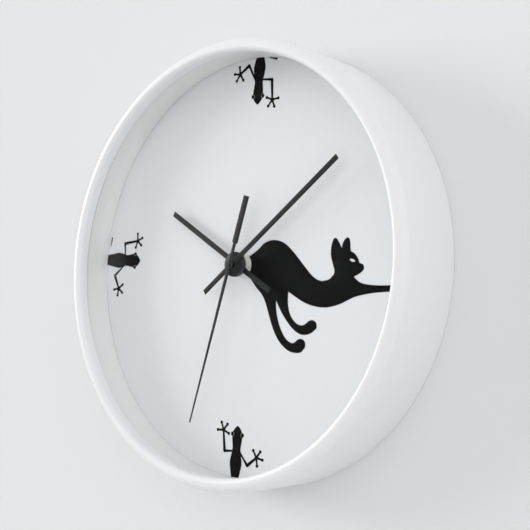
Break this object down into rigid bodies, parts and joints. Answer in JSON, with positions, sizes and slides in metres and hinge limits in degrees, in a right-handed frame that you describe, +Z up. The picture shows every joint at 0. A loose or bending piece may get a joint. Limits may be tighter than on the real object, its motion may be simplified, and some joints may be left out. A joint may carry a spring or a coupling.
{
  "type": "wall clock",
  "caption": "Round white wall clock with a deep rim and clear lens; dark straight hands turn over a printed stretching cat, driven by a quartz movement.",
  "frame": {"origin": "centre of the clock's bounding box, on the axis of the hands, half way between the wall and the front of the rim", "axes": "+Z up, twelve o'clock; +X to the right of someone looking at the dial; +Y towards the wall, so the dial faces -Y"},
  "size_m": [0.254, 0.0456, 0.254],
  "materials": {
    "painted_case": "turned wood under smooth satin white paint",
    "acrylic_lens": "clear polished acrylic",
    "spacer_plastic": "pale grey matte plastic",
    "printed_dial": "white printed sheet, matte",
    "black_print": "flat black ink",
    "hardboard": "raw brown hardboard",
    "steel": "plain zinc plated steel",
    "movement_plastic": "black moulded plastic, fine grain",
    "gear_plastic": "natural acetal",
    "brass": "turned brass",
    "copper_wire": "enamelled copper wire",
    "circuit_laminate": "green laminate",
    "chip_resin": "black epoxy",
    "ferrite": "sintered dark grey magnet",
    "rubber": "black rubber",
    "nut_metal": "pale cream plated brass, satin",
    "hand_metal": "charcoal painted sheet aluminium",
    "cell_sleeve": "printed film sleeve with bare steel ends"
  },
  "bodies": {
    "case": {"case_ring": "painted_case", "lens": "acrylic_lens", "spacer_ring": "spacer_plastic", "dial": "printed_dial", "back_board": "hardboard", "board_point_1": "steel", "board_point_2": "steel", "board_point_3": "steel", "board_point_4": "steel", "board_point_5": "steel", "board_point_6": "steel", "cat_print": "black_print", "lizard_print_top": "black_print", "lizard_print_bottom": "black_print", "lizard_print_left": "black_print", "toe_print_top": "black_print", "toe_print_left": "black_print", "hanger_bracket": "steel", "rubber_washer": "rubber", "nut_washer": "nut_metal", "mounting_nut": "nut_metal", "movement_housing": "movement_plastic", "movement_back_cover": "movement_plastic", "middle_plate": "gear_plastic", "stator": "steel", "coil_core": "steel", "coil_bobbin": "gear_plastic", "coil_winding": "copper_wire", "circuit_board": "circuit_laminate", "control_chip": "chip_resin", "quartz_crystal": "steel", "battery_contact_positive": "steel", "battery_contact_negative": "steel"},
    "minute_arbor": {"cannon_pinion": "brass", "center_wheel": "gear_plastic", "minute_hub": "hand_metal", "minute_hand": "hand_metal"},
    "hour_arbor": {"hour_wheel": "gear_plastic", "hour_hand": "hand_metal"},
    "second_arbor": {"second_wheel": "gear_plastic", "second_hub": "hand_metal", "second_hand": "hand_metal"},
    "third_arbor": {"third_wheel": "gear_plastic"},
    "intermediate_arbor": {"intermediate_wheel": "gear_plastic"},
    "rotor": {"rotor_pinion": "gear_plastic", "rotor_magnet": "ferrite"},
    "setting_arbor": {"minute_wheel": "gear_plastic", "setting_knob": "movement_plastic"},
    "battery_cell": {"battery": "cell_sleeve"}
  },
  "joints": [
    {"name": "minute_hand_turn", "type": "hinge", "parent": "case", "child": "minute_arbor", "pos_m": [0, 0, 0], "axis": [0, 1, 0], "continuous": true},
    {"name": "hour_hand_turn", "type": "hinge", "parent": "case", "child": "hour_arbor", "pos_m": [0, 0, 0], "axis": [0, 1, 0], "continuous": true},
    {"name": "second_hand_turn", "type": "hinge", "parent": "case", "child": "second_arbor", "pos_m": [0, 0, 0], "axis": [0, 1, 0], "continuous": true},
    {"name": "third_wheel_turn", "type": "hinge", "parent": "case", "child": "third_arbor", "pos_m": [-0.0102, 0, 0], "axis": [0, 1, 0], "continuous": true},
    {"name": "intermediate_wheel_turn", "type": "hinge", "parent": "case", "child": "intermediate_arbor", "pos_m": [-0.0038, 0, 0.00816], "axis": [0, 1, 0], "continuous": true},
    {"name": "rotor_turn", "type": "hinge", "parent": "case", "child": "rotor", "pos_m": [0.00057, 0, 0.01573], "axis": [0, 1, 0], "continuous": true},
    {"name": "setting_knob_turn", "type": "hinge", "parent": "case", "child": "setting_arbor", "pos_m": [0.01071, 0, 0.0039], "axis": [0, 1, 0], "continuous": true},
    {"name": "battery_lift_out", "type": "slide", "parent": "case", "child": "battery_cell", "axis": [0, 1, 0], "range_m": [0, 0.02]}
  ],
  "couplings": [
    {"joint": "hour_hand_turn", "follows": "minute_hand_turn", "ratio": 0.083333},
    {"joint": "second_hand_turn", "follows": "minute_hand_turn", "ratio": 60},
    {"joint": "third_wheel_turn", "follows": "minute_hand_turn", "ratio": -8},
    {"joint": "intermediate_wheel_turn", "follows": "minute_hand_turn", "ratio": -300},
    {"joint": "rotor_turn", "follows": "minute_hand_turn", "ratio": 1800},
    {"joint": "setting_knob_turn", "follows": "minute_hand_turn", "ratio": -0.33333}
  ]
}
